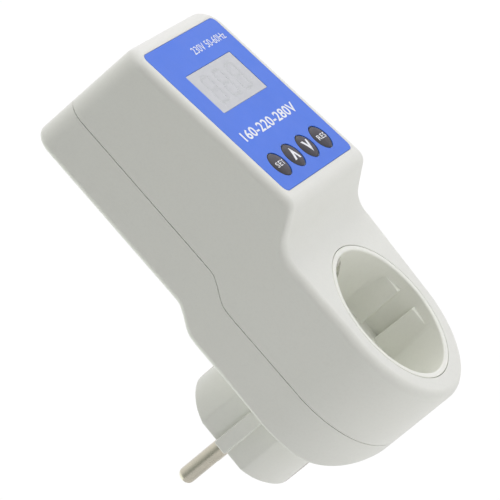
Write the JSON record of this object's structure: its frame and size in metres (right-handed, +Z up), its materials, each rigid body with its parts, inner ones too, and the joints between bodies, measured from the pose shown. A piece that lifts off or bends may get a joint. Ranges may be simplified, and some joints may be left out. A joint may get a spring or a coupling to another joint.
{
  "type": "plug-in voltage monitor relay",
  "caption": "Plug-in mains monitor with a sloping key and display panel above a pass-through earthed socket, and a round two-pin plug behind.",
  "frame": {"origin": "on the plug's axis, on the flat sole that the two pins stand out of", "axes": "+Z up with the key panel uppermost, +X to the right seen from the front, +Y along the pins into the wall outlet, so the front faces -Y"},
  "size_m": [0.0578, 0.0861, 0.1232],
  "materials": {
    "abs": "fine matte",
    "film": "satin printed film",
    "pane": "clear window over a grey display",
    "lcd": "grey-green liquid crystal glass",
    "white_plastic": "plain",
    "board": "green circuit board",
    "chip": "moulded package",
    "relay_case": "moulded case",
    "capacitor_yellow": "moulded case",
    "capacitor_black": "sleeved can",
    "varistor_blue": "dipped",
    "resistor_tan": "lacquered",
    "wire_brown": "insulated wire",
    "wire_blue": "insulated wire",
    "nickel": "nickel-plated brass",
    "brass": "bright",
    "screw_steel": "zinc plated",
    "key_grey": "soft matte",
    "switch_black": "moulded"
  },
  "bodies": {
    "housing": {"front_shell": "abs", "back_cover": "abs", "front_label": "film", "lcd_window": "pane", "lcd_glass": "lcd", "lcd_backlight": "white_plastic", "control_board": "board", "board_screw_left": "screw_steel", "board_screw_right": "screw_steel", "controller_chip": "chip", "socket_cup": "abs", "socket_earth_spring": "nickel", "plug_earth_spring": "nickel", "earth_link": "brass", "contact_live": "brass", "contact_neutral": "brass", "pin_live": "nickel", "pin_neutral": "nickel", "neutral_link": "brass", "pin_carrier": "white_plastic", "housing_screw_top_left": "screw_steel", "housing_screw_top_right": "screw_steel", "housing_screw_low_left": "screw_steel", "housing_screw_low_right": "screw_steel", "power_board": "board", "power_screw_left": "screw_steel", "power_screw_right": "screw_steel", "relay": "relay_case", "film_capacitor": "capacitor_yellow", "filter_capacitor": "capacitor_black", "varistor": "varistor_blue", "dropper_resistor": "resistor_tan", "live_in_wire": "wire_brown", "live_out_wire": "wire_brown", "neutral_wire": "wire_blue", "switch_body_set": "switch_black", "switch_body_up": "switch_black", "switch_body_down": "switch_black", "switch_body_reset": "switch_black"},
    "set_key": {"key_set": "key_grey", "switch_stem_set": "switch_black"},
    "up_key": {"key_up": "key_grey", "switch_stem_up": "switch_black"},
    "down_key": {"key_down": "key_grey", "switch_stem_down": "switch_black"},
    "reset_key": {"key_reset": "key_grey", "switch_stem_reset": "switch_black"}
  },
  "joints": [
    {"name": "set_press", "type": "slide", "parent": "housing", "child": "set_key", "axis": [0, 0.9888, -0.149], "range_m": [0, 0.0005], "stiffness_N_per_m": 1000, "springref_m": -0.0006},
    {"name": "up_press", "type": "slide", "parent": "housing", "child": "up_key", "axis": [0, 0.9888, -0.149], "range_m": [0, 0.0005], "stiffness_N_per_m": 1000, "springref_m": -0.0006},
    {"name": "down_press", "type": "slide", "parent": "housing", "child": "down_key", "axis": [0, 0.9888, -0.149], "range_m": [0, 0.0005], "stiffness_N_per_m": 1000, "springref_m": -0.0006},
    {"name": "reset_press", "type": "slide", "parent": "housing", "child": "reset_key", "axis": [0, 0.9888, -0.149], "range_m": [0, 0.0005], "stiffness_N_per_m": 1000, "springref_m": -0.0006}
  ]
}
